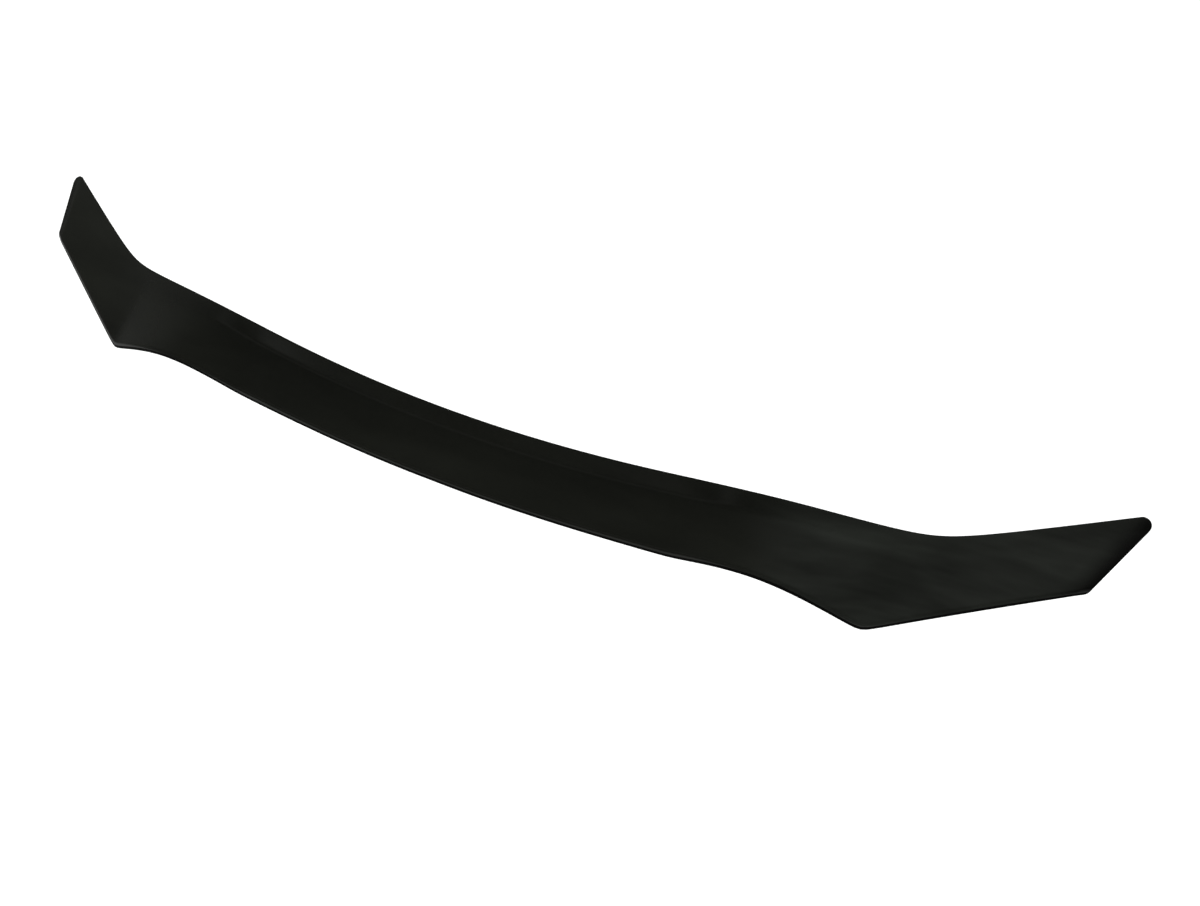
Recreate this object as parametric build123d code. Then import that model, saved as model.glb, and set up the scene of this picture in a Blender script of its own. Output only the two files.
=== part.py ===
from build123d import *
import os
from collections import namedtuple
from math import asin, cos, hypot, radians, sin, sqrt, tan

os.makedirs("parts", exist_ok=True)

# Hood bug deflector, in millimetres. +X runs across the car, the outer face looks towards -Y
# and +Z is up. The origin is on the car's centre plane, in the middle of the clamps' channels,
# where the front hem of the hood sits.

# Sheet and the form of its section
sheet_thickness = 3.0
edge_bevel = 0.8
lip_height = 21.0
lip_kick_degrees = 20.0
wing_kick_degrees = 3.0
kick_fade_start = 240.0
kick_fade_end = 540.0
crease_tangent = 3.0
roll_radius = 10.0
roll_degrees = 48.0

# Top and bottom edge on the centre plane
top_setback = 13.9
top_height = 41.5
bottom_advance = 37.8
bottom_depth = 22.6

# Bow of both edges over the nose of the hood
nose_reach = 400.0
nose_sweep = 16.3
nose_crown = 31.5

# Bends of the top edge, as changes of its slope back and up for each millimetre across
shoulder_x = 372.0
shoulder_back = 0.139
shoulder_up = -0.269
shoulder_radius = 415.0
wing_bend_x = 557.0
wing_bend_back = 0.268
wing_bend_up = 0.382
wing_bend_radius = 150.0

# Bends of the bottom edge
brow_x = 303.0
brow_back = -0.210
brow_up = 0.324
brow_radius = 80.0
drop_x = 404.5
drop_back = 0.298
drop_up = -0.964
drop_radius = 177.0
heel_x = 519.0
heel_back = 0.364
heel_up = 0.770
heel_radius = 15.0

# Wing tips, cut off at a slant and turned back along the cut
tip_top_x = 749.5
tip_bottom_x = 709.5
tip_slant_start = 600.0
tip_return_width = 20.0
tip_return_degrees = 5.0
tip_return_radius = 40.0
tip_top_radius = 8.5
tip_bottom_radius = 15.0

# Sections of the shield's loft, which runs past the tips before they are trimmed
station_pitch = 12.4
tip_overrun = 16.5
trim_depth = 80.0
trim_flare_degrees = 4.0
trim_reach = 60.0

# Clamps, bent from steel strip
clamp_inner_x = 130.0
clamp_outer_x = 600.0
clamp_rise = 30.0
clamp_width = 25.0
strip_thickness = 2.0
front_leg_height = 26.0
rear_leg_height = 22.0
channel_width = 12.0
clamp_bend_radius = 3.0

# Foam tape in front of each clamp, rubber liner in its channel
bond_gap = 0.2
tape_thickness = 1.0
tape_height = 21.0
tape_width = 22.0
liner_thickness = 1.5
liner_height = 16.0
liner_width = 22.0
pad_rise = 4.0

# Clamp screws, backed out until their ends are flush with the rear legs
screw_diameter = 5.0
screw_clearance = 0.05
screw_height = 14.0
screw_length = 14.0
screw_head_width = 8.0
screw_head_height = 3.5

# Rubber stops between the band and the hood
stop_inner_x = 45.0
stop_middle_x = 215.0
stop_outer_x = 675.0
stop_rise = 46.0
stop_diameter = 20.0
stop_height = 9.0

Bend = namedtuple("Bend", "at back up radius")
TOP_BENDS = (
    Bend(shoulder_x, shoulder_back, shoulder_up, shoulder_radius),
    Bend(wing_bend_x, wing_bend_back, wing_bend_up, wing_bend_radius),
)
BOTTOM_BENDS = (
    Bend(brow_x, brow_back, brow_up, brow_radius),
    Bend(drop_x, drop_back, drop_up, drop_radius),
    Bend(heel_x, heel_back, heel_up, heel_radius),
)
ROLL = radians(roll_degrees)
TIP_TURN = tan(radians(tip_return_degrees))
TIP_RETURN = Bend(tip_top_x - tip_return_width, TIP_TURN, 0.0, tip_return_radius)
REAR_LEG = tape_thickness + strip_thickness + liner_thickness + channel_width


def reach(bend):
    return bend.radius * hypot(bend.back, bend.up) / 2


def ramp(x, bend):
    """Zero well before the bend and x - at well after it, rounded between the two."""
    return (hypot(x - bend.at, reach(bend)) + x - bend.at) / 2


def edge_point(x, centre_y, centre_z, bends):
    inner = min(x, nose_reach) / nose_reach
    outer = max(x - nose_reach, 0.0) / nose_reach
    bow = inner**2 + 2 * outer
    y = centre_y + nose_sweep * bow
    z = centre_z + nose_crown * bow
    for bend in bends:
        run = ramp(x, bend) - ramp(0.0, bend)
        y += bend.back * run
        z += bend.up * run
    return Vector(x, y, z)


def top_point(x):
    return edge_point(x, top_setback, top_height, TOP_BENDS)


def bottom_point(x):
    """The bottom edge's partner of the top edge's point at x: near the tip it lags inwards."""
    slant = max(x - tip_slant_start, 0.0) / (tip_top_x - tip_slant_start)
    lagged = x - (tip_top_x - tip_bottom_x) * slant**2
    return edge_point(lagged, -bottom_advance, -bottom_depth, BOTTOM_BENDS)


def kick_at(x):
    """The lip's kick out from the band, which fades from the nose towards the wings."""
    share = min(max((x - kick_fade_start) / (kick_fade_end - kick_fade_start), 0.0), 1.0)
    fade = share**2 * (3 - 2 * share)
    return radians(lip_kick_degrees + (wing_kick_degrees - lip_kick_degrees) * fade)


class Section:
    """The shield's section at a station: down runs along the band, out is its outward normal."""

    def __init__(self, station):
        x = abs(station)
        side = -1 if station < 0 else 1
        top = top_point(x)
        chord = bottom_point(x) - top
        across = top_point(x + 1) - top + bottom_point(x + 1) - bottom_point(x)
        if x == 0:
            across = Vector(1, 0, 0)
        normal = chord.cross(across).normalized()
        top -= normal * TIP_TURN * (ramp(x, TIP_RETURN) - ramp(0.0, TIP_RETURN))
        self.kick = kick_at(x)
        self.crease_radius = crease_tangent / tan(self.kick / 2)
        self.band_depth = lip_height * sin(self.kick)
        dip = self.band_depth + roll_radius * (1 - cos(ROLL)) + edge_bevel * sin(ROLL)
        lean = asin(dip / chord.length)
        down = chord.normalized() * cos(lean) + normal * sin(lean)
        out = normal * cos(lean) - chord.normalized() * sin(lean)
        self.length = sqrt(chord.length**2 - dip**2)
        self.top = Vector(side * top.X, top.Y, top.Z)
        self.down = Vector(side * down.X, down.Y, down.Z)
        self.out = Vector(side * out.X, out.Y, out.Z)
        self.normal = Vector(side * normal.X, normal.Y, normal.Z)
        face = down.cross(across).normalized()
        self.face = Vector(side * face.X, face.Y, face.Z)
        self.bottom = self.point(self.length, dip)

    def point(self, along, depth):
        """The point so far down from the top edge and so far in from it."""
        return self.top + self.down * along - self.out * depth

    def crease(self, radius, angle):
        """A point on the crease's arc, at an angle from the band's end of it."""
        end = lip_height * cos(self.kick) + crease_tangent
        centre_depth = self.band_depth - self.crease_radius
        return self.point(end - radius * sin(angle), centre_depth + radius * cos(angle))

    def roll(self, radius, angle):
        """A point on the rolled bottom edge's arc, at an angle from the band's end of it."""
        start = self.length - roll_radius * sin(ROLL) - edge_bevel * cos(ROLL)
        centre_depth = self.band_depth + roll_radius
        return self.point(start + radius * sin(angle), centre_depth - radius * cos(angle))

    def crease_arc(self, radius, first, last):
        middle = (first + last) / 2
        return ThreePointArc(
            self.crease(radius, first), self.crease(radius, middle), self.crease(radius, last)
        )

    def roll_arc(self, radius, first, last):
        middle = (first + last) / 2
        return ThreePointArc(self.roll(radius, first), self.roll(radius, middle), self.roll(radius, last))

    def lip(self, along, depth):
        """A point so far down the lip from the top edge and so far in from its face."""
        return self.point(
            along * cos(self.kick) - depth * sin(self.kick),
            along * sin(self.kick) + depth * cos(self.kick),
        )

    def roll_end(self, depth):
        """A point on the bottom edge of the sheet, so far in from its face."""
        onward = self.down * cos(ROLL) - self.out * sin(ROLL)
        return self.roll(roll_radius - depth, ROLL) + onward * edge_bevel

    def outline(self):
        """The closed outline of the sheet, with bevelled edges at the lip and under the roll."""
        outer_crease = self.crease_radius
        inner_crease = self.crease_radius + sheet_thickness
        inner_roll = roll_radius - sheet_thickness
        inner_bevel = sheet_thickness - edge_bevel
        edges = [
            Line(self.lip(edge_bevel, 0), self.crease(outer_crease, self.kick)),
            self.crease_arc(outer_crease, self.kick, 0),
            Line(self.crease(outer_crease, 0), self.roll(roll_radius, 0)),
            self.roll_arc(roll_radius, 0, ROLL),
            Line(self.roll(roll_radius, ROLL), self.roll_end(edge_bevel)),
            Line(self.roll_end(edge_bevel), self.roll_end(inner_bevel)),
            Line(self.roll_end(inner_bevel), self.roll(inner_roll, ROLL)),
            self.roll_arc(inner_roll, ROLL, 0),
            Line(self.roll(inner_roll, 0), self.crease(inner_crease, 0)),
            self.crease_arc(inner_crease, 0, self.kick),
            Line(self.crease(inner_crease, self.kick), self.lip(edge_bevel, sheet_thickness)),
            Line(self.lip(edge_bevel, sheet_thickness), self.lip(0, inner_bevel)),
            Line(self.lip(0, inner_bevel), self.lip(0, edge_bevel)),
            Line(self.lip(0, edge_bevel), self.lip(edge_bevel, 0)),
        ]
        return Wire(edges)

    def seat(self, rise):
        """A plane on the band's back, a rise above the bottom edge: Y up the band, Z rearwards."""
        back = self.point(self.length - rise, self.band_depth + sheet_thickness)
        return Plane(origin=back - self.face * bond_gap, x_dir=self.down.cross(self.face), z_dir=-self.face)


def tip_trim():
    """The waste beyond the slanted cut and the two rounded corners of the right tip."""
    tip = Section(tip_top_x)
    inner = Section(tip_top_x - trim_depth)
    plane = Plane(origin=tip.top, x_dir=tip.bottom - tip.top, z_dir=tip.normal)
    flare = tan(radians(trim_flare_degrees))
    top_inner = plane.to_local_coords(inner.top)
    bottom_inner = plane.to_local_coords(inner.bottom)
    cut_length = (tip.bottom - tip.top).length
    kept = Polygon(
        (top_inner.X - (trim_depth - tip_top_radius) * flare, top_inner.Y),
        (tip_top_radius * flare, 0),
        (cut_length - tip_bottom_radius * flare, 0),
        (bottom_inner.X + (trim_depth - tip_bottom_radius) * flare, bottom_inner.Y),
        align=None,
    )
    corners = kept.vertices().sort_by(Axis.Y)[-2:].sort_by(Axis.X)
    kept = fillet(corners[0], tip_top_radius)
    kept = fillet(kept.vertices().sort_by(Axis.Y)[-1], tip_bottom_radius)
    waste = Pos(cut_length / 2, 0) * Rectangle(cut_length + trim_reach, trim_reach) - kept
    return extrude(plane * waste, amount=trim_reach / 2, both=True)


def shield():
    end = tip_top_x + tip_overrun
    steps = round(end / station_pitch)
    right = Solid.make_loft([Section(end * step / steps).outline() for step in range(steps + 1)])
    right -= tip_trim()
    return right + mirror(right, about=Plane.YZ)


def strip_line():
    """Centre line of a clamp's strip: up the band along X, rearwards along Y."""
    front = tape_thickness + strip_thickness / 2
    rear = front + strip_thickness + liner_thickness + channel_width
    return FilletPolyline(
        (front_leg_height, front),
        (0, front),
        (0, rear),
        (rear_leg_height, rear),
        radius=clamp_bend_radius + strip_thickness / 2,
    )


def edge_clamp(seat):
    profile = Plane(origin=seat.origin, x_dir=seat.y_dir, z_dir=seat.x_dir)
    clamp = extrude(profile * trace(strip_line(), strip_thickness), amount=clamp_width / 2, both=True)
    hole = Cylinder(screw_diameter / 2 + screw_clearance, 2 * strip_thickness)
    return clamp - seat * Pos(0, screw_height, REAR_LEG + strip_thickness / 2) * hole


def tape_pad(seat):
    return seat * Pos(0, pad_rise + tape_height / 2, tape_thickness / 2) * Box(
        tape_width, tape_height, tape_thickness
    )


def clamp_liner(seat):
    depth = tape_thickness + strip_thickness + liner_thickness / 2
    return seat * Pos(0, pad_rise + liner_height / 2, depth) * Box(
        liner_width, liner_height, liner_thickness
    )


def clamp_screw(seat):
    axis = seat * Pos(0, screw_height, REAR_LEG)
    rising = (Align.CENTER, Align.CENTER, Align.MIN)
    shank = Cylinder(screw_diameter / 2, screw_length, align=rising)
    head = extrude(RegularPolygon(screw_head_width / 2, 6, major_radius=False), amount=screw_head_height)
    return axis * (shank + Pos(0, 0, screw_length) * head)


def bump_stop(seat):
    return seat * Pos(0, 0, stop_height / 2) * Cylinder(stop_diameter / 2, stop_height)


export_step(shield(), "parts/deflector_shield.step")

clamp_stations = (-clamp_outer_x, -clamp_inner_x, clamp_inner_x, clamp_outer_x)
for number, station in enumerate(clamp_stations, start=1):
    seat = Section(station).seat(clamp_rise)
    export_step(edge_clamp(seat), f"parts/edge_clamp_{number}.step")
    export_step(tape_pad(seat), f"parts/tape_pad_{number}.step")
    export_step(clamp_liner(seat), f"parts/clamp_liner_{number}.step")
    export_step(clamp_screw(seat), f"parts/clamp_screw_{number}.step")

stop_stations = (stop_inner_x, stop_middle_x, stop_outer_x)
for number, station in enumerate((-x for x in reversed(stop_stations)), start=1):
    export_step(bump_stop(Section(station).seat(stop_rise)), f"parts/bump_stop_{number}.step")
for number, station in enumerate(stop_stations, start=len(stop_stations) + 1):
    export_step(bump_stop(Section(station).seat(stop_rise)), f"parts/bump_stop_{number}.step")
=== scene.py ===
from collections import namedtuple
from math import asin, ceil, cos, hypot, pi, radians, sin, sqrt, tan

import bpy
from mathutils import Matrix, Vector


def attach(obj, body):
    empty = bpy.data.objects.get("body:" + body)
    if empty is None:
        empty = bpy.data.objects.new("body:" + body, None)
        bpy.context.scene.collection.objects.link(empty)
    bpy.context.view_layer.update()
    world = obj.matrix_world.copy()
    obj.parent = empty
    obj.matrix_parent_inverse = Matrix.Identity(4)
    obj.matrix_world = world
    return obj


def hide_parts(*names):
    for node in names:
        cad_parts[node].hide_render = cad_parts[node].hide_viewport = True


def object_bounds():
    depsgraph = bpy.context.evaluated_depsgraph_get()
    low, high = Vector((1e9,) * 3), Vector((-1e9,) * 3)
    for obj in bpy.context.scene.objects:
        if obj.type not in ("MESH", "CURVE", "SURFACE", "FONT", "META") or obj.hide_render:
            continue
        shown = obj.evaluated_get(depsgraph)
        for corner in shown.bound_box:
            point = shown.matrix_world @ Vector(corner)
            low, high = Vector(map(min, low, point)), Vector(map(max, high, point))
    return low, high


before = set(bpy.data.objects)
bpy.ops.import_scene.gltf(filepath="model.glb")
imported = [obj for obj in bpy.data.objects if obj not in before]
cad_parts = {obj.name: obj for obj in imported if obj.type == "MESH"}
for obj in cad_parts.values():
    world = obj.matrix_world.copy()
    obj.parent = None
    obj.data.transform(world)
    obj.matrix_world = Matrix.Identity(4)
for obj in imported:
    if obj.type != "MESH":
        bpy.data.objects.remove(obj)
cad_low, cad_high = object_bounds()

# Hood bug deflector, in metres. +X runs across the car, the outer face looks towards -Y and +Z is
# up. One thermoformed acrylic sheet, with its clamps, tape, liners, screws and rubber stops behind.

# Sheet and the form of its section
SHEET_THICKNESS = 0.003
EDGE_STEP = 0.0008
LIP_HEIGHT = 0.021
LIP_KICK = radians(20.0)
WING_KICK = radians(3.0)
KICK_FADE_START = 0.240
KICK_FADE_END = 0.540
CREASE_TANGENT = 0.003
ROLL_RADIUS = 0.010
ROLL = radians(48.0)

# Top and bottom edge on the centre plane, and the bow of both over the nose of the hood
TOP_START = Vector((0.0, 0.0139, 0.0415))
BOTTOM_START = Vector((0.0, -0.0378, -0.0226))
NOSE_REACH = 0.400
NOSE_SWEEP = 0.0163
NOSE_CROWN = 0.0315

# Bends of the two edges, as changes of slope back and up for each metre across
Bend = namedtuple("Bend", "at back up radius")
SHOULDER = Bend(0.372, 0.139, -0.269, 0.415)
WING_BEND = Bend(0.557, 0.268, 0.382, 0.150)
BROW = Bend(0.303, -0.210, 0.324, 0.080)
DROP = Bend(0.4045, 0.298, -0.964, 0.177)
HEEL = Bend(0.519, 0.364, 0.770, 0.015)

# Wing tips
TIP_TOP_X = 0.7495
TIP_BOTTOM_X = 0.7095
TIP_SLANT_START = 0.600
TIP_TURN = tan(radians(5.0))
TIP_RETURN = Bend(TIP_TOP_X - 0.020, TIP_TURN, 0.0, 0.040)
TIP_TOP_RADIUS = 0.0085
TIP_BOTTOM_RADIUS = 0.015

# The modelled sheet: spacing of its columns and rows, and the polished rounding of its edges
COLUMN_PITCH = 0.006
TIP_ZONE = 0.028
TIP_COLUMNS = 14
LIP_STEPS = (0.0, 0.09, 0.22, 0.4, 0.62, 0.84)
CREASE_ROWS = 8
BAND_ROWS = 18
ROLL_ROWS = 6
EDGE_ROUNDING = 0.0011
EDGE_SEGMENTS = 4
# Rows at the roll's end that take the cut edges' dark finish, as painted shade along the bottom edge
PAINTED_SHADE_ROWS = 2
SLOPE_STEP = 0.001

# Clamps, bent from steel strip
CLAMP_STATIONS = (-0.600, -0.130, 0.130, 0.600)
CLAMP_RISE = 0.030
CLAMP_WIDTH = 0.025
STRIP_THICKNESS = 0.002
FRONT_LEG_HEIGHT = 0.026
REAR_LEG_HEIGHT = 0.022
CHANNEL_WIDTH = 0.012
CLAMP_BEND_RADIUS = 0.003
LEG_CORNER_RADIUS = 0.003
CLAMP_BEND_SEGMENTS = 10
CORNER_SEGMENTS = 6
HOLE_CLEARANCE = 0.0001125
BURR_ROUNDING = 0.00025

# Foam tape, rubber liner and the gap that the adhesive fills
BOND_GAP = 0.0002
TAPE_THICKNESS = 0.001
TAPE_HEIGHT = 0.021
TAPE_WIDTH = 0.022
TAPE_CORNER_RADIUS = 0.002
LINER_THICKNESS = 0.0015
LINER_HEIGHT = 0.016
LINER_WIDTH = 0.022
LINER_RIBS = 8
RIB_HEIGHT = 0.0004
PAD_RISE = 0.004

# Clamp screws with a metric thread
SCREW_DIAMETER = 0.005
SCREW_HEIGHT = 0.014
SCREW_LENGTH = 0.014
SCREW_HEAD_WIDTH = 0.008
SCREW_HEAD_HEIGHT = 0.0035
THREAD_PITCH = 0.0008
THREAD_DEPTH = 0.00045
THREAD_START = 1.2 * THREAD_PITCH
THREAD_FOOT = 0.42 * THREAD_PITCH
THREAD_CREST = 0.06 * THREAD_PITCH
THREAD_SINK = 0.96
THREAD_STEPS = 24
HEAD_SIDES = 6
HEAD_INSET = SCREW_HEAD_WIDTH / 12
HEAD_CHAMFER = 1.2 * THREAD_DEPTH
HEAD_CORNER = 0.52 * SCREW_HEAD_WIDTH
FRONT_OF_REAR_LEG = TAPE_THICKNESS + STRIP_THICKNESS + LINER_THICKNESS + CHANNEL_WIDTH

# Rubber stops between the band and the hood
STOP_STATIONS = (-0.675, -0.215, -0.045, 0.045, 0.215, 0.675)
STOP_RISE = 0.046
STOP_DIAMETER = 0.020
STOP_HEIGHT = 0.009
STOP_EDGE_RADIUS = 0.0022
STOP_RIM = STOP_EDGE_RADIUS / 2
STOP_SLOPE = STOP_EDGE_RADIUS / 3
STOP_DISH = STOP_EDGE_RADIUS / 4
STOP_EDGE_SEGMENTS = 8

# Meshes: sides of round pieces, angles of smooth and sharp edges, tests that pick edges and faces
ROUND_SIDES = 48
STOP_SIDES = 64
SMOOTH_UNDER = radians(35.0)
STOP_SMOOTH_UNDER = radians(40.0)
SHARP_OVER = radians(50.0)
HEAD_SHARP_OVER = radians(20.0)
NEAR = 0.00045
FACING = 0.9

# Patterns in the finishes, drawn out along the axes of the piece, and their ramps of tints
Pattern = namedtuple("Pattern", "stretch scale detail roughness turn", defaults=(0.5, (0.0, 0.0, 0.0)))
EVEN = (1.0, 1.0, 1.0)
HAZE = Pattern((1.0, 2.5, 6.0), 3.2, 3.0, 0.55)
HAZE_TINTS = (
    (0.30, (0.0088, 0.0092, 0.0077)),
    (0.55, (0.0128, 0.0134, 0.0110)),
    (0.80, (0.0174, 0.0184, 0.0152)),
)
# Painted reflection: lighter streaky tints that the right wing's base colour takes
PAINTED_REFLECTION_STREAKS = Pattern((1.0, 1.0, 7.5), 5.5, 3.0, 0.6, (0.0, radians(-17.0), 0.0))
PAINTED_REFLECTION_TINTS = (
    (0.30, (0.0085, 0.0091, 0.0079)),
    (0.50, (0.0160, 0.0173, 0.0151)),
    (0.70, (0.0245, 0.0269, 0.0235)),
)
# Where along X the painted streaky reflection starts and is full, and its strength
PAINTED_REFLECTION_SPAN = (0.36, 0.46, 1.0)
SMEAR = Pattern((1.0, 3.0, 9.0), 7.0, 4.0, 0.6)
SMEAR_ROUGHNESS = (0.13, 0.22)
ORANGE_PEEL = Pattern(EVEN, 90.0, 2.0)
SAW_MARKS = Pattern((6.0, 1.0, 1.0), 260.0, 2.0)
# Dark tints of the cut edges, also used as painted shade on the roll's last rows
SAWN_AND_PAINTED_SHADE_TINTS = ((0.3, (0.0012, 0.0012, 0.0011)), (0.7, (0.0030, 0.0030, 0.0027)))
SAWN_ROUGHNESS = (0.45, 0.6)
COATING = Pattern(EVEN, 60.0, 4.0)
COATING_TINTS = ((0.3, (0.016, 0.016, 0.016)), (0.75, (0.030, 0.030, 0.031)))
COATING_ROUGHNESS = (0.34, 0.5)
COATING_GRAIN = Pattern(EVEN, 1400.0, 2.0)
PLATING = Pattern(EVEN, 220.0, 4.0)
PLATING_TINTS = ((0.3, (0.30, 0.30, 0.29)), (0.7, (0.42, 0.42, 0.40)))
PLATING_ROUGHNESS = (0.26, 0.42)
BLOOM = Pattern(EVEN, 130.0, 5.0)
BLOOM_TINTS = ((0.3, (0.014, 0.014, 0.014)), (0.75, (0.027, 0.027, 0.026)))
BLOOM_ROUGHNESS = (0.62, 0.8)
RUBBER_GRAIN = Pattern(EVEN, 2600.0, 2.0)
FOAM_CELLS = 2400.0
FOAM_TINTS = ((0.0, (0.025, 0.025, 0.025)), (0.5, (0.075, 0.075, 0.074)))
FLOOR_CLOUD = Pattern(EVEN, 0.8, 2.0)
FLOOR_TINTS = ((0.3, (0.93, 0.93, 0.93)), (0.7, (0.95, 0.95, 0.95)))
MATT = 0.9
ACRYLIC_IOR = 1.49
ACRYLIC_SPECULAR = 0.17
SAWN_SPECULAR = 0.02
FLOOR_SPECULAR = 0.1

# Depth and strength of the relief that a pattern gives a surface
PEEL_RELIEF = (0.0004, 0.03)
COATING_RELIEF = (0.0002, 0.25)
RUBBER_RELIEF = (0.0001, 0.3)
FOAM_RELIEF = (0.0002, 0.5)

# Painted shade in the base colour along the slanted tip edges: their lean, their distance and its width
# by side
TIP_LEAN = 0.668
TIP_LINE = 0.568
PAINTED_TIP_SHADE_WIDTH = {1: 0.024, -1: 0.010}
PAINTED_TIP_SHADE = (0.0012, 0.0012, 0.0011, 1.0)

# Camera of the photograph
CAMERA_PLACE = Vector((0.9324, -1.1861, 1.0480))
CAMERA_TURN = 0.553
CAMERA_FALL = 0.613
CAMERA_LENS = 48.0
CAMERA_SENSOR = 36.0
CAMERA_CLIP = 0.01

# Studio: floor, broad light from behind, and each part of the sky by where its light starts and is
# full along an axis and how strong it is
FLOOR_SIZE = 80.0
FLOOR_CELLS = 8
FLOOR_DROP = 0.6
LIGHT_TILT = (radians(-35.0), radians(8.0), 0.0)
LIGHT_SPREAD = radians(45.0)
LIGHT_STRENGTH = 3.5
SKY_DIM = 0.05
SKY_OVERHEAD = (0.78, 0.96, 0.20)
SKY_LEFT = (-0.55, -0.97, 0.21)
SKY_RIGHT = (0.35, 0.8, 0.65)
SKY_BEHIND = (0.0, 0.5, 0.65)
SKY_HORIZON = (0.10, 0.03, 1.0)
SKY_SEEN = 1.1
SKY_TINT = (0.97, 1.0, 0.95, 1.0)
STRIP_HEIGHT = 0.42
STRIP_SPREAD = 0.10
STRIP_STRENGTH = 0.34
STRIP_IN_FRONT = (-0.5, -0.66, 1.0)


def reach(bend):
    return bend.radius * hypot(bend.back, bend.up) / 2


def ramp(x, bend):
    """Zero well before the bend and x - at well after it, rounded between the two."""
    return (hypot(x - bend.at, reach(bend)) + x - bend.at) / 2


def edge_point(x, start, bends):
    inner = min(x, NOSE_REACH) / NOSE_REACH
    outer = max(x - NOSE_REACH, 0.0) / NOSE_REACH
    bow = inner**2 + 2 * outer
    point = start + Vector((x, NOSE_SWEEP * bow, NOSE_CROWN * bow))
    for bend in bends:
        point += Vector((0.0, bend.back, bend.up)) * (ramp(x, bend) - ramp(0.0, bend))
    return point


def top_point(x):
    return edge_point(x, TOP_START, (SHOULDER, WING_BEND))


def bottom_point(x):
    """The bottom edge's partner of the top edge's point at x: near the tip it lags inwards."""
    slant = max(x - TIP_SLANT_START, 0.0) / (TIP_TOP_X - TIP_SLANT_START)
    lagged = x - (TIP_TOP_X - TIP_BOTTOM_X) * slant**2
    return edge_point(lagged, BOTTOM_START, (BROW, DROP, HEEL))


def kick_at(x):
    """The lip's kick out from the band, which fades from the nose towards the wings."""
    share = min(max((x - KICK_FADE_START) / (KICK_FADE_END - KICK_FADE_START), 0.0), 1.0)
    return LIP_KICK + (WING_KICK - LIP_KICK) * share**2 * (3 - 2 * share)


class Section:
    """The sheet's section at a station: down runs along the band, out is its outward normal."""

    def __init__(self, station):
        x = abs(station)
        mirrored = Vector((-1 if station < 0 else 1, 1, 1))
        top = top_point(x)
        chord = bottom_point(x) - top
        beyond = x + SLOPE_STEP
        across = top_point(beyond) - top + bottom_point(beyond) - bottom_point(x)
        if x == 0:
            across = Vector((1, 0, 0))
        normal = chord.cross(across).normalized()
        top -= normal * TIP_TURN * (ramp(x, TIP_RETURN) - ramp(0.0, TIP_RETURN))
        self.kick = kick_at(x)
        self.crease_radius = CREASE_TANGENT / tan(self.kick / 2)
        self.band_depth = LIP_HEIGHT * sin(self.kick)
        dip = self.band_depth + ROLL_RADIUS * (1 - cos(ROLL)) + EDGE_STEP * sin(ROLL)
        lean = asin(dip / chord.length)
        down = chord.normalized() * cos(lean) + normal * sin(lean)
        out = normal * cos(lean) - chord.normalized() * sin(lean)
        self.length = sqrt(chord.length**2 - dip**2)
        self.top = top * mirrored
        self.down = down * mirrored
        self.out = out * mirrored
        self.face = down.cross(across).normalized() * mirrored
        self.lip_run = LIP_HEIGHT - CREASE_TANGENT
        self.crease_run = self.crease_radius * self.kick
        self.band_start = LIP_HEIGHT * cos(self.kick) + CREASE_TANGENT
        self.roll_start = self.length - ROLL_RADIUS * sin(ROLL) - EDGE_STEP * cos(ROLL)
        self.band_run = self.roll_start - self.band_start
        self.roll_run = ROLL_RADIUS * ROLL
        self.run = self.lip_run + self.crease_run + self.band_run + self.roll_run + EDGE_STEP

    def point(self, along, depth):
        return self.top + self.down * along - self.out * depth

    def on_sheet(self, run):
        """The point of the outer face that lies so far down the sheet from its top edge."""
        if run <= self.lip_run:
            return self.point(run * cos(self.kick), run * sin(self.kick))
        run -= self.lip_run
        if run <= self.crease_run:
            angle = self.kick - run / self.crease_radius
            centre_depth = self.band_depth - self.crease_radius
            return self.point(
                self.band_start - self.crease_radius * sin(angle),
                centre_depth + self.crease_radius * cos(angle),
            )
        run -= self.crease_run
        if run <= self.band_run:
            return self.point(self.band_start + run, self.band_depth)
        run -= self.band_run
        angle = min(run / ROLL_RADIUS, ROLL)
        beyond = max(run - self.roll_run, 0.0)
        return self.point(
            self.roll_start + ROLL_RADIUS * sin(angle) + beyond * cos(angle),
            self.band_depth + ROLL_RADIUS * (1 - cos(angle)) + beyond * sin(angle),
        )

    def row_runs(self):
        """How far down the sheet each row of the modelled mesh lies."""
        runs = [self.lip_run * step for step in LIP_STEPS]
        start = self.lip_run
        runs += [start + self.crease_run * row / CREASE_ROWS for row in range(CREASE_ROWS)]
        start += self.crease_run
        runs += [start + self.band_run * row / BAND_ROWS for row in range(BAND_ROWS)]
        start += self.band_run
        runs += [start + self.roll_run * row / ROLL_ROWS for row in range(ROLL_ROWS)]
        return runs + [self.run]

    def seat(self, rise):
        """A frame on the band's back: X across, Y up the band and Z rearwards."""
        origin = self.point(self.length - rise, self.band_depth + SHEET_THICKNESS)
        origin -= self.face * BOND_GAP
        axes = Matrix((self.down.cross(self.face), -self.down, -self.face)).transposed()
        return Matrix.Translation(origin) @ axes.to_4x4()


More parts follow.
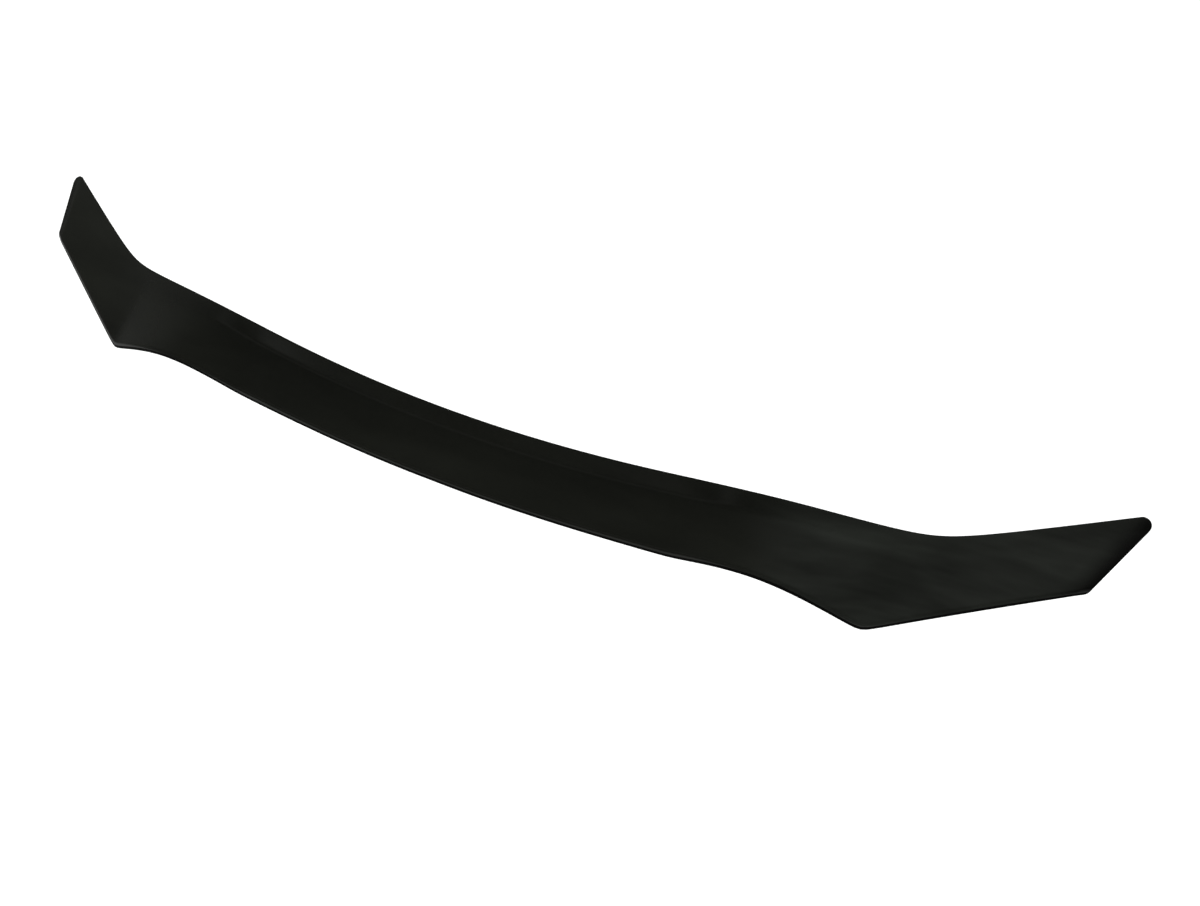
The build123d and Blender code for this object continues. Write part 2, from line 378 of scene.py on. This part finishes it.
class Corner:
    """A rounded tip corner, in lengths along the sheet's edge and along the slanted end."""

    def __init__(self, edge, end, radius):
        angle = edge.angle(end)
        self.tangent = radius / tan(angle / 2)
        self.sweep = pi - angle
        self.centre = radius / sin(angle)

    def on_arc(self, share):
        first = sin((1 - share) * self.sweep) / sin(self.sweep)
        last = sin(share * self.sweep) / sin(self.sweep)
        reach_out = self.tangent - self.centre
        along = self.centre + first * reach_out - last * self.centre
        down = self.centre - first * self.centre + last * reach_out
        return along, down

    def rounded(self, along, down):
        """Moves a point so many metres from the sharp corner's two edges to the rounded one."""
        if along >= self.tangent or down >= self.tangent:
            return along, down
        ring = max(self.tangent - along, self.tangent - down) / self.tangent
        edge_along = self.tangent + (along - self.tangent) / ring
        edge_down = self.tangent + (down - self.tangent) / ring
        share = (self.tangent - edge_along + edge_down) / (2 * self.tangent)
        arc_along, arc_down = self.on_arc(share)
        return (
            self.tangent + (arc_along - self.tangent) * ring,
            self.tangent + (arc_down - self.tangent) * ring,
        )


def column_stations():
    """Stations of the mesh's columns, from tip to tip, closer together in the tips."""
    plain = TIP_TOP_X - TIP_ZONE
    half = ceil(plain / COLUMN_PITCH)
    inner = [plain * step / half for step in range(half + 1)]
    inner += [plain + TIP_ZONE * step / TIP_COLUMNS for step in range(1, TIP_COLUMNS + 1)]
    return [-x for x in reversed(inner[1:])] + inner


def clear_selection():
    bpy.ops.object.select_all(action="DESELECT")


def take(piece):
    clear_selection()
    piece.select_set(True)
    bpy.context.view_layer.objects.active = piece


def named_piece(name):
    piece = bpy.context.active_object
    piece.name = name
    piece.data.name = name
    return piece


def apply_modifier(piece, kind, **settings):
    """Adds one modifier with these settings and applies it at once."""
    take(piece)
    modifier = piece.modifiers.new(kind.lower(), kind)
    for setting, value in settings.items():
        setattr(modifier, setting, value)
    bpy.ops.object.modifier_apply(modifier=modifier.name)


def settle(piece, place):
    """Puts a piece modelled on its seat's axes into place, with the place in its mesh."""
    piece.data.transform(place)
    piece.data.update()


def dress(piece, node, slot, *materials):
    """A finished piece takes these materials, stands for its node and rides with the sheet."""
    for material in materials:
        piece.data.materials.append(material)
    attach(piece, "root")
    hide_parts(node)


def tip_corners():
    """The rounded corners at the top and bottom of a tip's slanted end."""
    tip = Section(TIP_TOP_X)
    inner = Section(TIP_TOP_X - COLUMN_PITCH)
    top_edge = inner.on_sheet(0.0) - tip.on_sheet(0.0)
    bottom_edge = inner.on_sheet(inner.run) - tip.on_sheet(tip.run)
    end = tip.on_sheet(tip.run) - tip.on_sheet(0.0)
    top = Corner(top_edge, end, TIP_TOP_RADIUS)
    bottom = Corner(bottom_edge, -end, TIP_BOTTOM_RADIUS)
    return (top, top_edge.length / COLUMN_PITCH), (bottom, bottom_edge.length / COLUMN_PITCH)


def sheet_place(station, row, corners):
    """Where the vertex of a column and a row lies on the sheet, tips rounded."""
    (top, top_stretch), (bottom, bottom_stretch) = corners
    section = Section(station)
    run = section.row_runs()[row]
    inwards = TIP_TOP_X - abs(station)
    if inwards > TIP_ZONE:
        return section.on_sheet(run)
    in_top_half = run < section.run / 2
    if in_top_half:
        along, run = top.rounded(inwards * top_stretch, run)
        inwards = along / top_stretch
    else:
        along, rest = bottom.rounded(inwards * bottom_stretch, section.run - run)
        inwards = along / bottom_stretch
    x = TIP_TOP_X - inwards
    section = Section(x if station > 0 else -x)
    return section.on_sheet(run if in_top_half else section.run - rest)


def deflector_sheet():
    """The formed sheet: a grid on its outer face, thickened, its edges and the roll's end dull and dark,
    the dark on the roll's end being painted shade.
    """
    stations = column_stations()
    rows = len(Section(0.0).row_runs())
    clear_selection()
    columns = len(stations) - 1
    bpy.ops.mesh.primitive_grid_add(x_subdivisions=columns, y_subdivisions=rows - 1, size=1)
    sheet = named_piece("formed_sheet")
    corners = tip_corners()
    first_painted_shade_row = rows - 1 - PAINTED_SHADE_ROWS
    row_of = [round((0.5 - vertex.co.y) * (rows - 1)) for vertex in sheet.data.vertices]
    for vertex, row in zip(sheet.data.vertices, row_of):
        column = round((vertex.co.x + 0.5) * columns)
        vertex.co = sheet_place(stations[column], row, corners)
    for material in (smoked_acrylic(), cut_acrylic_and_painted_shade()):
        sheet.data.materials.append(material)
    # The roll's last rows take the cut edges' dark finish: painted shade along the bottom edge
    for face in sheet.data.polygons:
        face.material_index = int(min(row_of[index] for index in face.vertices) >= first_painted_shade_row)
    apply_modifier(
        sheet,
        "SOLIDIFY",
        thickness=SHEET_THICKNESS,
        offset=-1,
        use_even_offset=True,
        material_offset_rim=1,
    )
    apply_modifier(
        sheet,
        "BEVEL",
        width=EDGE_ROUNDING,
        segments=EDGE_SEGMENTS,
        limit_method="ANGLE",
        angle_limit=SHARP_OVER,
        use_clamp_overlap=True,
        material=1,
    )
    take(sheet)
    bpy.ops.object.shade_smooth()
    return sheet


def add_node(nodes, kind, **sockets):
    node = nodes.new(kind)
    for socket, value in sockets.items():
        node.inputs[socket.replace("_", " ")].default_value = value
    return node


def new_material(name):
    material = bpy.data.materials.new(name)
    material.use_nodes = True
    nodes = material.node_tree.nodes
    links = material.node_tree.links
    coordinates = nodes.new("ShaderNodeTexCoord")
    return material, nodes, links, nodes["Principled BSDF"], coordinates.outputs["Object"]


def stretched_noise(nodes, links, place, pattern):
    """Noise on the piece's own coordinates, turned and drawn out as its pattern says."""
    mapping = nodes.new("ShaderNodeMapping")
    mapping.inputs["Rotation"].default_value = pattern.turn
    mapping.inputs["Scale"].default_value = pattern.stretch
    links.new(place, mapping.inputs["Vector"])
    noise = add_node(
        nodes,
        "ShaderNodeTexNoise",
        Scale=pattern.scale,
        Detail=pattern.detail,
        Roughness=pattern.roughness,
    )
    links.new(mapping.outputs["Vector"], noise.inputs["Vector"])
    return noise.outputs["Fac"]


def colour_ramp(nodes, links, factor, stops):
    """A ramp through (place, colour) stops."""
    ramp_node = nodes.new("ShaderNodeValToRGB")
    elements = ramp_node.color_ramp.elements
    while len(elements) < len(stops):
        elements.new(1.0)
    for element, (at, colour) in zip(elements, stops):
        element.position = at
        element.color = (*colour, 1.0)
    links.new(factor, ramp_node.inputs["Fac"])
    return ramp_node.outputs["Color"]


def spread(nodes, links, factor, low, high):
    """Maps a factor from 0..1 onto a range of values."""
    mapped = nodes.new("ShaderNodeMapRange")
    mapped.inputs["To Min"].default_value = low
    mapped.inputs["To Max"].default_value = high
    links.new(factor, mapped.inputs["Value"])
    return mapped.outputs["Result"]


def relief(nodes, links, shader, height, distance, strength):
    bump = add_node(nodes, "ShaderNodeBump", Strength=strength, Distance=distance)
    links.new(height, bump.inputs["Height"])
    links.new(bump.outputs["Normal"], shader.inputs["Normal"])


def fade_in(nodes, links, value, start, full, strength):
    """Rises smoothly from nothing to its full strength as a value goes from start to full."""
    mapped = nodes.new("ShaderNodeMapRange")
    mapped.interpolation_type = "SMOOTHSTEP"
    mapped.inputs["From Min"].default_value = start
    mapped.inputs["From Max"].default_value = full
    mapped.inputs["To Max"].default_value = strength
    links.new(value, mapped.inputs["Value"])
    return mapped.outputs["Result"]


def axis_parts(nodes, links, place):
    parts = nodes.new("ShaderNodeSeparateXYZ")
    links.new(place, parts.inputs["Vector"])
    return parts.outputs


def combine(nodes, links, operation, first, *others):
    """Adds or multiplies a socket and others, or takes the largest; the others may be numbers."""
    total = first
    for other in others:
        node = nodes.new("ShaderNodeMath")
        node.operation = operation
        links.new(total, node.inputs[0])
        if isinstance(other, float):
            node.inputs[1].default_value = other
        else:
            links.new(other, node.inputs[1])
        total = node.outputs["Value"]
    return total


def blend(nodes, links, share, first, second):
    """Goes from the first colour, plain or a socket, to the second as the share grows."""
    mix = nodes.new("ShaderNodeMix")
    mix.data_type = "RGBA"
    links.new(share, mix.inputs["Factor"])
    if isinstance(first, tuple):
        mix.inputs["A"].default_value = first
    else:
        links.new(first, mix.inputs["A"])
    links.new(second, mix.inputs["B"])
    return mix.outputs["Result"]


def tip_fade(nodes, links, place, side):
    """One over most of the sheet, falling off over the last stretch before a slanted tip edge."""
    turned = nodes.new("ShaderNodeVectorMath")
    turned.operation = "DOT_PRODUCT"
    turned.inputs[1].default_value = Vector((side, 0.0, -TIP_LEAN)).normalized()
    links.new(place, turned.inputs[0])
    shade_start = TIP_LINE - PAINTED_TIP_SHADE_WIDTH[side]
    return fade_in(nodes, links, turned.outputs["Value"], TIP_LINE, shade_start, 1.0)


def smoked_acrylic():
    """Near-black acrylic: green-grey haze, a painted streaky reflection on the right wing, painted shade
    along the tip edges.
    """
    material, nodes, links, shader, place = new_material("smoked_acrylic")
    tint = colour_ramp(nodes, links, stretched_noise(nodes, links, place, HAZE), HAZE_TINTS)
    # Painted reflection: the right wing's base colour blends into lighter streaky tints
    wing = fade_in(nodes, links, axis_parts(nodes, links, place)["X"], *PAINTED_REFLECTION_SPAN)
    reflection_streaks = stretched_noise(nodes, links, place, PAINTED_REFLECTION_STREAKS)
    with_painted_reflection = blend(nodes, links, wing, tint, colour_ramp(nodes, links, reflection_streaks, PAINTED_REFLECTION_TINTS))
    smear = stretched_noise(nodes, links, place, SMEAR)
    links.new(spread(nodes, links, smear, *SMEAR_ROUGHNESS), shader.inputs["Roughness"])
    # Painted shade: the base colour goes to near black over the last stretch before each slanted tip
    # edge
    fades = [tip_fade(nodes, links, place, side) for side in PAINTED_TIP_SHADE_WIDTH]
    inside = combine(nodes, links, "MULTIPLY", *fades)
    links.new(blend(nodes, links, inside, PAINTED_TIP_SHADE, with_painted_reflection), shader.inputs["Base Color"])
    relief(nodes, links, shader, stretched_noise(nodes, links, place, ORANGE_PEEL), *PEEL_RELIEF)
    shader.inputs["IOR"].default_value = ACRYLIC_IOR
    shader.inputs["Specular IOR Level"].default_value = ACRYLIC_SPECULAR
    return material


def cut_acrylic_and_painted_shade():
    """The sheet's cut and eased edges, darker and duller than its faces, with faint saw marks; on the
    roll's last rows its dark tint is painted shade.
    """
    material, nodes, links, shader, place = new_material("cut_acrylic_and_painted_shade")
    marks = stretched_noise(nodes, links, place, SAW_MARKS)
    links.new(colour_ramp(nodes, links, marks, SAWN_AND_PAINTED_SHADE_TINTS), shader.inputs["Base Color"])
    links.new(spread(nodes, links, marks, *SAWN_ROUGHNESS), shader.inputs["Roughness"])
    shader.inputs["Specular IOR Level"].default_value = SAWN_SPECULAR
    return material


def coated_steel():
    """Satin black coating with the fine texture of powder paint."""
    material, nodes, links, shader, place = new_material("coated_steel")
    cloud = stretched_noise(nodes, links, place, COATING)
    links.new(colour_ramp(nodes, links, cloud, COATING_TINTS), shader.inputs["Base Color"])
    links.new(spread(nodes, links, cloud, *COATING_ROUGHNESS), shader.inputs["Roughness"])
    grain = stretched_noise(nodes, links, place, COATING_GRAIN)
    relief(nodes, links, shader, grain, *COATING_RELIEF)
    return material


def zinc_plate():
    """Zinc plating, slightly clouded."""
    material, nodes, links, shader, place = new_material("zinc_plate")
    cloud = stretched_noise(nodes, links, place, PLATING)
    links.new(colour_ramp(nodes, links, cloud, PLATING_TINTS), shader.inputs["Base Color"])
    links.new(spread(nodes, links, cloud, *PLATING_ROUGHNESS), shader.inputs["Roughness"])
    shader.inputs["Metallic"].default_value = 1.0
    return material


def moulded_rubber():
    """Matt black rubber with a faint bloom."""
    material, nodes, links, shader, place = new_material("moulded_rubber")
    bloom = stretched_noise(nodes, links, place, BLOOM)
    links.new(colour_ramp(nodes, links, bloom, BLOOM_TINTS), shader.inputs["Base Color"])
    links.new(spread(nodes, links, bloom, *BLOOM_ROUGHNESS), shader.inputs["Roughness"])
    grain = stretched_noise(nodes, links, place, RUBBER_GRAIN)
    relief(nodes, links, shader, grain, *RUBBER_RELIEF)
    return material


def tape_foam():
    """Closed-cell foam, dark grey, with the pores of its cells."""
    material, nodes, links, shader, place = new_material("tape_foam")
    cells = nodes.new("ShaderNodeTexVoronoi")
    cells.inputs["Scale"].default_value = FOAM_CELLS
    links.new(place, cells.inputs["Vector"])
    pores = cells.outputs["Distance"]
    links.new(colour_ramp(nodes, links, pores, FOAM_TINTS), shader.inputs["Base Color"])
    shader.inputs["Roughness"].default_value = MATT
    relief(nodes, links, shader, pores, *FOAM_RELIEF)
    return material


def floor_paint():
    """Even pale studio floor."""
    material, nodes, links, shader, place = new_material("floor_paint")
    cloud = stretched_noise(nodes, links, place, FLOOR_CLOUD)
    links.new(colour_ramp(nodes, links, cloud, FLOOR_TINTS), shader.inputs["Base Color"])
    shader.inputs["Roughness"].default_value = MATT
    shader.inputs["Specular IOR Level"].default_value = FLOOR_SPECULAR
    return material


def select_faces(piece, wanted):
    """Selects the faces that the test wants and goes into face mode."""
    bpy.ops.object.mode_set(mode="EDIT")
    bpy.ops.mesh.select_mode(type="FACE")
    bpy.ops.mesh.select_all(action="DESELECT")
    bpy.ops.object.mode_set(mode="OBJECT")
    for face in piece.data.polygons:
        face.select = wanted(face)
    bpy.ops.object.mode_set(mode="EDIT")


def select_edges(piece, wanted):
    """Selects the edges whose two ends pass the test and goes into edge mode."""
    bpy.ops.object.mode_set(mode="EDIT")
    bpy.ops.mesh.select_mode(type="EDGE")
    bpy.ops.mesh.select_all(action="DESELECT")
    bpy.ops.object.mode_set(mode="OBJECT")
    places = piece.data.vertices
    for edge in piece.data.edges:
        first, last = (places[index].co for index in edge.vertices)
        edge.select = wanted(first, last)
    bpy.ops.object.mode_set(mode="EDIT")


def folded_strip():
    """A clamp on its seat: a strip folded twice to a U, with round leg corners and a screw hole."""
    front = TAPE_THICKNESS + STRIP_THICKNESS / 2
    rear = FRONT_OF_REAR_LEG + STRIP_THICKNESS / 2
    clear_selection()
    bpy.ops.mesh.primitive_plane_add(size=1, location=(0, FRONT_LEG_HEIGHT / 2, front))
    strip = named_piece("edge_clamp")
    bpy.ops.transform.resize(value=(CLAMP_WIDTH, FRONT_LEG_HEIGHT, 1))
    bpy.ops.object.transform_apply(location=True, rotation=True, scale=True)
    select_edges(strip, lambda a, b: max(a.y, b.y) < NEAR)
    bpy.ops.mesh.extrude_region_move(TRANSFORM_OT_translate={"value": (0, 0, rear - front)})
    bpy.ops.mesh.extrude_region_move(TRANSFORM_OT_translate={"value": (0, REAR_LEG_HEIGHT, 0)})
    fold = CLAMP_BEND_RADIUS + STRIP_THICKNESS / 2
    bpy.ops.object.mode_set(mode="OBJECT")
    select_edges(strip, lambda a, b: max(a.y, b.y) < NEAR and abs(a.x - b.x) > CLAMP_WIDTH / 2)
    bpy.ops.mesh.bevel(offset=fold, segments=CLAMP_BEND_SEGMENTS, affect="EDGES")
    bpy.ops.object.mode_set(mode="OBJECT")
    legs = REAR_LEG_HEIGHT - NEAR
    select_edges(strip, lambda a, b: min(a.y, b.y) > legs and abs(a.x - b.x) > NEAR)
    bpy.ops.mesh.bevel(offset=LEG_CORNER_RADIUS, segments=CORNER_SEGMENTS, affect="VERTICES")
    bpy.ops.object.mode_set(mode="OBJECT")
    apply_modifier(strip, "SOLIDIFY", thickness=STRIP_THICKNESS, offset=0, use_even_offset=True)
    clear_selection()
    bpy.ops.mesh.primitive_cylinder_add(
        vertices=ROUND_SIDES,
        radius=SCREW_DIAMETER / 2 + HOLE_CLEARANCE,
        depth=STRIP_THICKNESS * 3,
        location=(0, SCREW_HEIGHT, rear),
    )
    drill = named_piece("screw_hole")
    apply_modifier(strip, "BOOLEAN", object=drill, operation="DIFFERENCE", solver="EXACT")
    bpy.data.objects.remove(drill)
    apply_modifier(
        strip, "BEVEL", width=BURR_ROUNDING, segments=3, limit_method="ANGLE", angle_limit=SHARP_OVER
    )
    take(strip)
    bpy.ops.object.shade_smooth_by_angle(angle=SMOOTH_UNDER)
    return strip


def foam_strip():
    """A tape pad on its seat, its cut edges slightly crushed."""
    clear_selection()
    middle = (0, PAD_RISE + TAPE_HEIGHT / 2, TAPE_THICKNESS / 2)
    bpy.ops.mesh.primitive_cube_add(size=1, location=middle)
    pad = named_piece("tape_pad")
    bpy.ops.transform.resize(value=(TAPE_WIDTH, TAPE_HEIGHT, TAPE_THICKNESS))
    bpy.ops.object.transform_apply(location=True, rotation=True, scale=True)
    corner = TAPE_WIDTH / 2 - BURR_ROUNDING
    select_edges(pad, lambda a, b: abs(a.z - b.z) > TAPE_THICKNESS / 2 and abs(a.x) > corner)
    bpy.ops.mesh.bevel(offset=TAPE_CORNER_RADIUS, segments=CORNER_SEGMENTS, affect="EDGES")
    bpy.ops.object.mode_set(mode="OBJECT")
    apply_modifier(
        pad, "BEVEL", width=BURR_ROUNDING, segments=2, limit_method="ANGLE", angle_limit=SHARP_OVER
    )
    take(pad)
    bpy.ops.object.shade_smooth_by_angle(angle=SMOOTH_UNDER)
    return pad


def ribbed_liner():
    """A rubber liner on its seat, its hood side moulded with ribs across."""
    base = LINER_THICKNESS - RIB_HEIGHT
    strips = 2 * LINER_RIBS + 1
    clear_selection()
    bpy.ops.mesh.primitive_grid_add(x_subdivisions=1, y_subdivisions=strips, size=1)
    liner = named_piece("clamp_liner")
    bpy.ops.transform.resize(value=(LINER_WIDTH, LINER_HEIGHT, 1))
    foot = TAPE_THICKNESS + STRIP_THICKNESS
    bpy.ops.transform.translate(value=(0, PAD_RISE + LINER_HEIGHT / 2, foot))
    bpy.ops.object.transform_apply(location=True, rotation=True, scale=True)
    select_faces(liner, lambda face: True)
    bpy.ops.mesh.extrude_region_move(TRANSFORM_OT_translate={"value": (0, 0, base)})
    bpy.ops.object.mode_set(mode="OBJECT")
    width = LINER_HEIGHT / strips

    def on_rib(face):
        height = face.center.y - PAD_RISE
        return face.center.z > foot + base - NEAR and int(height / width) % 2 == 0

    select_faces(liner, on_rib)
    bpy.ops.mesh.extrude_region_move(TRANSFORM_OT_translate={"value": (0, 0, RIB_HEIGHT)})
    bpy.ops.mesh.select_all(action="SELECT")
    bpy.ops.mesh.normals_make_consistent(inside=False)
    bpy.ops.object.mode_set(mode="OBJECT")
    apply_modifier(
        liner, "BEVEL", width=BURR_ROUNDING / 2, segments=2, limit_method="ANGLE", angle_limit=SHARP_OVER
    )
    take(liner)
    bpy.ops.object.shade_smooth_by_angle(angle=SMOOTH_UNDER)
    return liner


def threaded_screw():
    """A hexagon screw on its seat: chamfered head, plain core and a helical thread."""
    core = SCREW_DIAMETER / 2 - THREAD_DEPTH
    tip = FRONT_OF_REAR_LEG
    clear_selection()
    bpy.ops.mesh.primitive_cylinder_add(
        vertices=ROUND_SIDES,
        radius=core,
        depth=SCREW_LENGTH,
        location=(0, SCREW_HEIGHT, tip + SCREW_LENGTH / 2),
    )
    screw = named_piece("clamp_screw")
    bpy.ops.object.transform_apply(location=True, rotation=True, scale=True)
    select_faces(screw, lambda face: face.normal.z < -FACING)
    bpy.ops.mesh.bevel(offset=THREAD_DEPTH, segments=2, affect="EDGES")
    bpy.ops.object.mode_set(mode="OBJECT")
    clear_selection()
    bpy.ops.mesh.primitive_cylinder_add(
        vertices=HEAD_SIDES,
        radius=SCREW_HEAD_WIDTH / sqrt(3),
        depth=SCREW_HEAD_HEIGHT,
        location=(0, SCREW_HEIGHT, tip + SCREW_LENGTH + SCREW_HEAD_HEIGHT / 2),
    )
    head = named_piece("screw_head")
    bpy.ops.object.transform_apply(location=True, rotation=True, scale=True)
    select_faces(head, lambda face: face.normal.z > FACING)
    bpy.ops.mesh.inset(thickness=HEAD_INSET)
    bpy.ops.object.mode_set(mode="OBJECT")
    rim = tip + SCREW_LENGTH + SCREW_HEAD_HEIGHT
    for vertex in head.data.vertices:
        outwards = hypot(vertex.co.x, vertex.co.y - SCREW_HEIGHT)
        if vertex.co.z > rim - THREAD_DEPTH and outwards > HEAD_CORNER:
            vertex.co.z = rim - HEAD_CHAMFER
    apply_modifier(
        head,
        "BEVEL",
        width=BURR_ROUNDING / 2,
        segments=2,
        limit_method="ANGLE",
        angle_limit=HEAD_SHARP_OVER,
    )
    thread = helical_thread(core, tip)
    clear_selection()
    for part in (thread, head, screw):
        part.select_set(True)
    bpy.context.view_layer.objects.active = screw
    bpy.ops.object.join()
    bpy.ops.object.shade_smooth_by_angle(angle=SMOOTH_UNDER)
    return screw


def helical_thread(core, tip):
    """A ridge with a narrow crest, wound round the core and run out at both ends."""
    turns = int(SCREW_LENGTH / THREAD_PITCH) - 2
    root = core * THREAD_SINK
    tooth = (
        (root, -THREAD_FOOT),
        (SCREW_DIAMETER / 2, -THREAD_CREST),
        (SCREW_DIAMETER / 2, THREAD_CREST),
        (root, THREAD_FOOT),
    )
    clear_selection()
    bpy.ops.mesh.primitive_circle_add(vertices=len(tooth), radius=THREAD_PITCH, fill_type="NGON")
    thread = named_piece("screw_thread")
    low = tip + THREAD_START
    for vertex, (away, rise) in zip(thread.data.vertices, tooth):
        vertex.co = (away, 0.0, rise + low)
    bpy.ops.object.mode_set(mode="EDIT")
    bpy.ops.mesh.select_all(action="SELECT")
    bpy.ops.mesh.delete(type="ONLY_FACE")
    bpy.ops.object.mode_set(mode="OBJECT")
    apply_modifier(
        thread,
        "SCREW",
        angle=2 * pi,
        screw_offset=THREAD_PITCH,
        iterations=turns,
        steps=THREAD_STEPS,
        render_steps=THREAD_STEPS,
        axis="Z",
        use_merge_vertices=True,
    )
    high = low + turns * THREAD_PITCH
    for vertex in thread.data.vertices:
        away = hypot(vertex.co.x, vertex.co.y)
        ends = min(vertex.co.z - low + THREAD_PITCH, high + THREAD_PITCH - vertex.co.z)
        share = min(max(ends / THREAD_PITCH, 0.0), 1.0)
        wanted = root + (away - root) * share
        vertex.co.x *= wanted / away
        vertex.co.y *= wanted / away
        vertex.co.y += SCREW_HEIGHT
    take(thread)
    bpy.ops.object.mode_set(mode="EDIT")
    bpy.ops.mesh.select_all(action="SELECT")
    bpy.ops.mesh.fill_holes(sides=4)
    bpy.ops.mesh.normals_make_consistent(inside=False)
    bpy.ops.object.mode_set(mode="OBJECT")
    return thread


def rubber_stop():
    """A round stop on its seat: straight side and a soft edge round a dished top."""
    clear_selection()
    bpy.ops.mesh.primitive_cylinder_add(
        vertices=STOP_SIDES,
        radius=STOP_DIAMETER / 2,
        depth=STOP_HEIGHT,
        location=(0, 0, STOP_HEIGHT / 2),
    )
    stop = named_piece("bump_stop")
    bpy.ops.object.transform_apply(location=True, rotation=True, scale=True)
    select_faces(stop, lambda face: face.normal.z > FACING)
    bpy.ops.mesh.bevel(offset=STOP_EDGE_RADIUS, segments=STOP_EDGE_SEGMENTS, affect="EDGES")
    bpy.ops.object.mode_set(mode="OBJECT")
    top = STOP_HEIGHT - BURR_ROUNDING
    select_faces(stop, lambda face: face.normal.z > FACING and face.center.z > top)
    bpy.ops.mesh.inset(thickness=STOP_RIM)
    bpy.ops.mesh.inset(thickness=STOP_SLOPE)
    bpy.ops.transform.translate(value=(0, 0, -STOP_DISH))
    bpy.ops.object.mode_set(mode="OBJECT")
    select_faces(stop, lambda face: face.normal.z < -FACING)
    bpy.ops.mesh.inset(thickness=BURR_ROUNDING)
    bpy.ops.object.mode_set(mode="OBJECT")
    take(stop)
    bpy.ops.object.shade_smooth_by_angle(angle=STOP_SMOOTH_UNDER)
    return stop


def copies(model, stations, rise, slot, *materials):
    """Copies a piece onto its seats, numbered in the order of +X."""
    node = model.name
    for number, station in enumerate(stations, start=1):
        piece = model.copy()
        piece.data = model.data.copy()
        piece.name = f"{node}_piece_{number}"
        bpy.context.scene.collection.objects.link(piece)
        settle(piece, Section(station).seat(rise))
        dress(piece, f"{node}_{number}", slot, *materials)
    bpy.data.objects.remove(model)


def crease_light(nodes, links, y, z):
    """A low strip light in front of the sheet, which brightens the crease under the lip."""
    rise = fade_in(nodes, links, z, STRIP_HEIGHT - STRIP_SPREAD, STRIP_HEIGHT, STRIP_STRENGTH)
    fall = fade_in(nodes, links, z, STRIP_HEIGHT + STRIP_SPREAD, STRIP_HEIGHT, 1.0)
    front = fade_in(nodes, links, y, *STRIP_IN_FRONT)
    return combine(nodes, links, "MULTIPLY", rise, fall, front)


def studio_sky():
    """Dim in front of the sheet, paler overhead and far left, pale behind, right and at the horizon.

    A view that looks straight at it finds it plain white, like the floor.
    """
    world = bpy.data.worlds.new("studio_sky")
    bpy.context.scene.world = world
    world.use_nodes = True
    nodes = world.node_tree.nodes
    links = world.node_tree.links
    coordinates = nodes.new("ShaderNodeTexCoord")
    direction = axis_parts(nodes, links, coordinates.outputs["Generated"])
    x, y, z = (direction[axis] for axis in "XYZ")
    overhead = fade_in(nodes, links, z, *SKY_OVERHEAD)
    parts = (
        SKY_DIM,
        fade_in(nodes, links, x, *SKY_LEFT),
        crease_light(nodes, links, y, z),
        fade_in(nodes, links, x, *SKY_RIGHT),
        fade_in(nodes, links, y, *SKY_BEHIND),
        fade_in(nodes, links, z, *SKY_HORIZON),
    )
    total = combine(nodes, links, "ADD", overhead, *parts)
    straight = nodes.new("ShaderNodeLightPath").outputs["Is Camera Ray"]
    seen = combine(nodes, links, "MULTIPLY", straight, SKY_SEEN)
    background = nodes["Background"]
    background.inputs["Color"].default_value = SKY_TINT
    links.new(combine(nodes, links, "MAXIMUM", total, seen), background.inputs["Strength"])


def studio():
    """Pale floor and one broad soft light from behind and above."""
    clear_selection()
    bpy.ops.mesh.primitive_grid_add(
        x_subdivisions=FLOOR_CELLS, y_subdivisions=FLOOR_CELLS, size=FLOOR_SIZE
    )
    floor = named_piece("studio_floor")
    floor.location.z = cad_low.z - FLOOR_DROP
    floor.data.materials.append(floor_paint())
    studio_sky()
    bpy.ops.object.light_add(type="SUN", rotation=LIGHT_TILT)
    light = bpy.context.active_object
    light.name = "broad_light"
    light.data.energy = LIGHT_STRENGTH
    light.data.angle = LIGHT_SPREAD


def photograph_camera():
    clear_selection()
    tilt = pi / 2 - CAMERA_FALL
    bpy.ops.object.camera_add(location=CAMERA_PLACE, rotation=(tilt, 0, CAMERA_TURN))
    camera = bpy.context.active_object
    camera.name = "photograph_camera"
    camera.data.lens = CAMERA_LENS
    camera.data.sensor_width = CAMERA_SENSOR
    camera.data.clip_start = CAMERA_CLIP
    bpy.context.scene.camera = camera
    bpy.context.scene.view_settings.view_transform = "Standard"


rubber = moulded_rubber()
dress(deflector_sheet(), "deflector_shield", "shield_acrylic")
copies(folded_strip(), CLAMP_STATIONS, CLAMP_RISE, "clamp_steel", coated_steel())
copies(foam_strip(), CLAMP_STATIONS, CLAMP_RISE, "tape_foam", tape_foam())
copies(ribbed_liner(), CLAMP_STATIONS, CLAMP_RISE, "liner_rubber", rubber)
copies(threaded_screw(), CLAMP_STATIONS, CLAMP_RISE, "screw_steel", zinc_plate())
copies(rubber_stop(), STOP_STATIONS, STOP_RISE, "stop_rubber", rubber)
studio()
photograph_camera()
